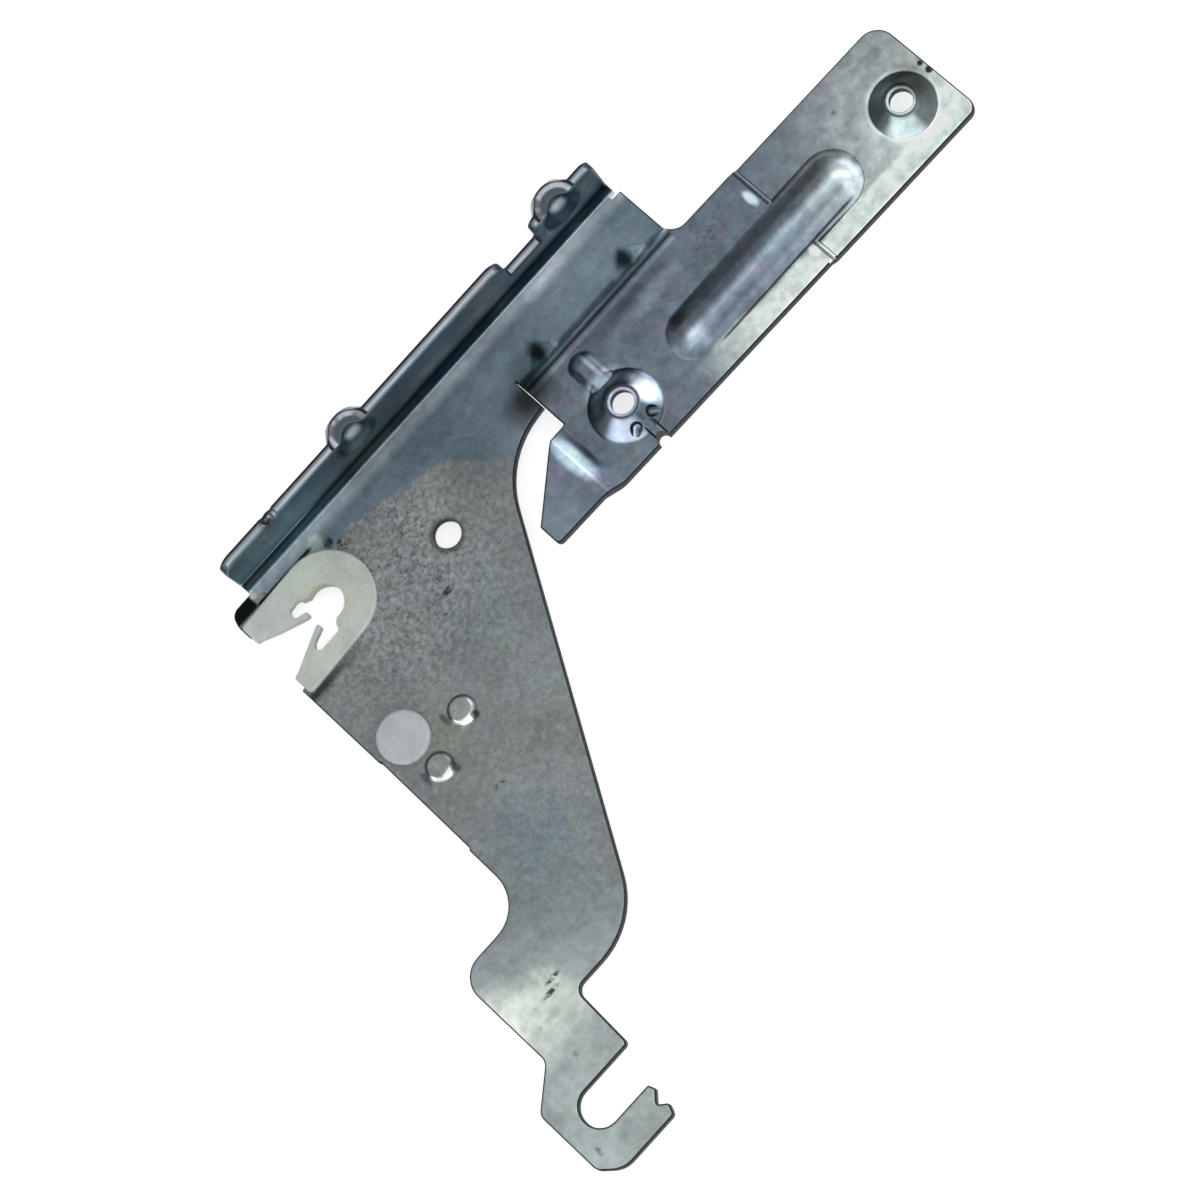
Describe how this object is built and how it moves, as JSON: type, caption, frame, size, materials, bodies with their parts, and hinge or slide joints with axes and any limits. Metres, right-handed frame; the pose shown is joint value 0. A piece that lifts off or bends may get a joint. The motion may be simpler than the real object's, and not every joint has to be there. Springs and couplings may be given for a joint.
{
  "type": "dishwasher door hinge arm",
  "caption": "Flat folded steel hinge arm with a screw flange, a raised mounting bracket, a snap-in nylon pivot bearing, a nylon plug and a spring hook.",
  "frame": {"origin": "centre of the pivot seat, at the height of the arm's flat back face", "axes": "+X along the screw flange towards the bracket, +Y out of the flange's face, +Z towards the side that the flange and the bracket rise to"},
  "size_m": [0.2066, 0.145, 0.0175],
  "materials": {
    "zinc_steel": "zinc-plated sheet, mottled, worn, with some dried grease",
    "nylon": "natural nylon, slightly translucent",
    "nylon_plug": "natural nylon, flat"
  },
  "bodies": {
    "root": {"hinge_arm": "zinc_steel", "pivot_bearing": "nylon", "buffer_plug": "nylon_plug"}
  },
  "joints": []
}
